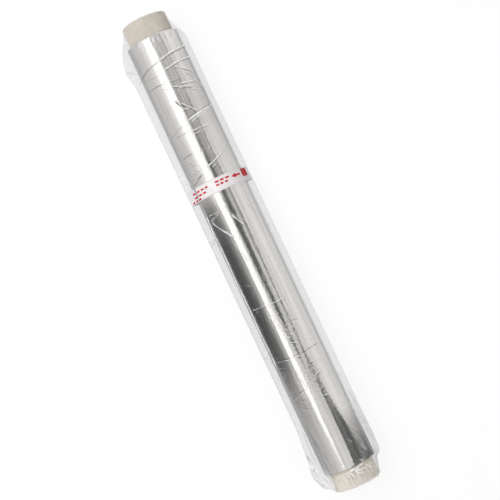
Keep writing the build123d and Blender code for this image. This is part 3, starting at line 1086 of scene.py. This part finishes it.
def addCards():
    height, away = studio["sideCardHeight"], studio["sideCardPlace"]
    standingCard("leftCard", -away, -0.2, 0.105,
                 [(-0.2, 0.66), (-0.052, 0.62), (-0.034, 0.17), (-0.01, 0.065), (0.05, 0.05),
                  (0.074, 0.085), (0.092, 0.27), (0.105, 0.38)],
                 [(0, 0), (0.03, 0.015), (0.04, 0.035), (0.05, 0.085), (0.0615, 0.2), (0.075, 0.42),
                  (0.09, 0.62)])
    standingCard("leftCardFar", -away, 0.105, 0.22,
                 [(0.105, 0.4), (0.123, 0.48), (0.145, 0.54), (0.22, 0.52)],
                 [(0, 0), (0.03, 0.015), (0.04, 0.035), (0.05, 0.07), (0.0615, 0.12), (0.075, 0.2),
                  (0.09, 0.24)])
    right = [(-0.2, 0), (0.156, 0), (0.152, 0.03), (0.145, 0.04), (0.138, 0.05), (0.128, 0.06),
             (0.119, 0.071), (0.111, 0.084), (0.108, height), (-0.2, height)]
    addCard("rightCard", [(x, away, z) for x, z in right],
            [(-0.2, 0.86), (-0.154, 0.84), (-0.136, 0.74), (-0.108, 0.64), (-0.08, 0.72), (-0.034, 0.76),
             (0.0, 0.8), (0.118, 0.78), (0.132, 0.44), (0.146, 0.19), (0.156, 0.12)],
            rise=[(0, 0), (0.01, 0), (0.032, 0.04), (0.042, 0.09), (0.05, 0.15), (0.055, 0.11),
                  (0.062, 0.03), (0.078, 0), (0.09, 0)])
    standingCard("rightFlag", away + 0.002, 0.08, 0.26,
                 [(0.08, 0.08), (0.15, 0.1), (0.165, 0.12), (0.26, 0.2)],
                 [(0, 0), (0.03, 0.02), (0.042, 0.1), (0.055, 0.1), (0.065, 0.0), (0.09, 0.0)])
    near = 0.012
    footCard("leftFoot", -away, -near, [(-0.2, 0.6), (-0.052, 0.58), (-0.03, 0.52), (0.22, 0.52)])
    footCard("rightFoot", near, away,
             [(-0.2, 0.72), (-0.136, 0.56), (-0.1, 0.54), (-0.03, 0.66), (0.12, 0.64), (0.142, 0.35),
              (0.16, 0.2), (0.22, 0.2)],
             rise=[(near, 0.34), (0.02, 0.3), (0.026, 0.04), (away, 0)])
    overheadCard("roof", (-1.1, 0.287), (-0.8, 0.8),
                 [(-0.8, 0.8), (-0.14, 0.78), (-0.1, 0.72), (0.12, 0.72), (0.19, 0.5), (0.27, 0.45),
                  (0.34, 0.57), (0.45, 0.64), (0.8, 0.68)])
    overheadCard("nearRoof", (-0.166, 0.1), (0.18, 0.8),
                 [(0.18, 0.69), (0.22, 0.68), (0.3, 0.65), (0.8, 0.7)], drop=0.002)
    overheadCard("softboxFace", (-1.1, -0.166), (-0.385, 0.45),
                 [(-1.1, 1.1), (-0.57, 1.22), (-0.48, 1.42), (-0.166, 1.42)], axis="X", drop=0.004,
                 rise=[(-0.385, -0.6), (-0.365, 0), (0.45, 0)])
    overheadCard("cameraBody", (-0.09, 0.1), (-0.095, 0.25),
                 [(-0.095, 0.16), (-0.07, 0.1), (0.11, 0.1), (0.16, 0.36), (0.25, 0.5)], drop=0.005)
    overheadCard("panelFrame", (0.287, 0.352), (-0.8, 0.8),
                 [(-0.8, 0.04), (0.1, 0.05), (0.3, 0.25), (0.8, 0.5)])
    # its dark end is square to the roll, not to the picture
    panel = addCard("panel", [(0.875, -0.02, 0), (1.275, 0.84, 0), (-0.175, 1.516, 0), (-0.576, 0.657, 0)],
                    [(-0.7, 0.8), (0.1, 0.8), (0.118, 0.7), (0.132, 0.45), (0.15, 0.24), (0.18, 0.14),
                     (1.4, 0.12)])
    panel.location.z = roofZ
    panel.rotation_euler.z = -0.055


def addLamp(name, across, up, radiance):
    # a soft lamp in the roof. Reflections show its card instead
    lamp = bpy.data.lights.new(name, "AREA")
    lamp.shape = "RECTANGLE"
    lamp.size, lamp.size_y = across[1] - across[0], up[1] - up[0]
    lamp.energy = radiance * math.pi * lamp.size * lamp.size_y
    softbox = bpy.data.objects.new(name, lamp)
    turn = Matrix.Rotation(pictureTurn, 4, "Z")
    middle = turn @ Vector(((across[0] + across[1]) / 2, (up[0] + up[1]) / 2, 0))
    softbox.matrix_world = Matrix.Translation(middle + Vector((0, 0, roofZ))) @ turn
    softbox.visible_camera = softbox.visible_glossy = False
    scene.collection.objects.link(softbox)


def addFloor():
    bm = bmesh.new()
    bmesh.ops.create_grid(bm, x_segments=1, y_segments=1, size=studio["floorHalf"])
    material, tree, paper = startMaterial("paleFloor")
    white = studio["floorWhite"]
    feed(tree, paper, {"Base Color": (white, white, white, 1), "Roughness": studio["floorRoughness"]})
    seen = addNode(tree, "LightPath").outputs["Is Camera Ray"]
    glow = times(tree, seen, studio["floorGlow"])
    surface(tree, mixShaders(tree, glow, paper.outputs[0], addNode(tree, "Emission").outputs[0]))
    floor = meshObject(bm, "paleFloor", material)
    floor.location.z = -studio["floorDrop"]


def addWorld():
    # white to the camera, in reflections and through the film, and dimmer as a light
    world = bpy.data.worlds.new("studio")
    world.use_nodes = True
    tree = world.node_tree
    rays = addNode(tree, "LightPath").outputs
    seen = combine(tree, "MAXIMUM", rays["Is Camera Ray"], rays["Is Glossy Ray"])
    seen = combine(tree, "MAXIMUM", seen, rays["Is Transmission Ray"])
    feed(tree, tree.nodes["Background"], {"Color": (1, 1, 1, 1),
                                          "Strength": spread(tree, seen, studio["ambient"], 1.0)})
    scene.world = world


def addCamera():
    data = bpy.data.cameras.new("camera")
    data.angle = math.radians(studio["fieldOfView"])
    data.clip_start, data.clip_end = 0.01, 20
    camera = bpy.data.objects.new("camera", data)
    place = Vector(studio["cameraPlace"])
    back = (place - Vector(studio["cameraAim"])).normalized()
    right = Vector(studio["imageRight"])
    right = (right - back * right.dot(back)).normalized()
    up = back.cross(right)
    turn = Matrix((right, up, back)).transposed()
    camera.matrix_world = Matrix.Translation(place) @ turn.to_4x4()
    scene.collection.objects.link(camera)
    scene.camera = camera


addCamera()
addFloor()
addCards()
addLamp("softbox", (-0.62, -0.145), (-0.37, 0.42), studio["softboxLight"])
addLamp("fill", (0.35, 0.85), (-0.4, 0.4), studio["fillLight"])
addWorld()
scene.view_settings.view_transform = "Standard"
scene.cycles.transparent_max_bounces = 24
print("studio set")
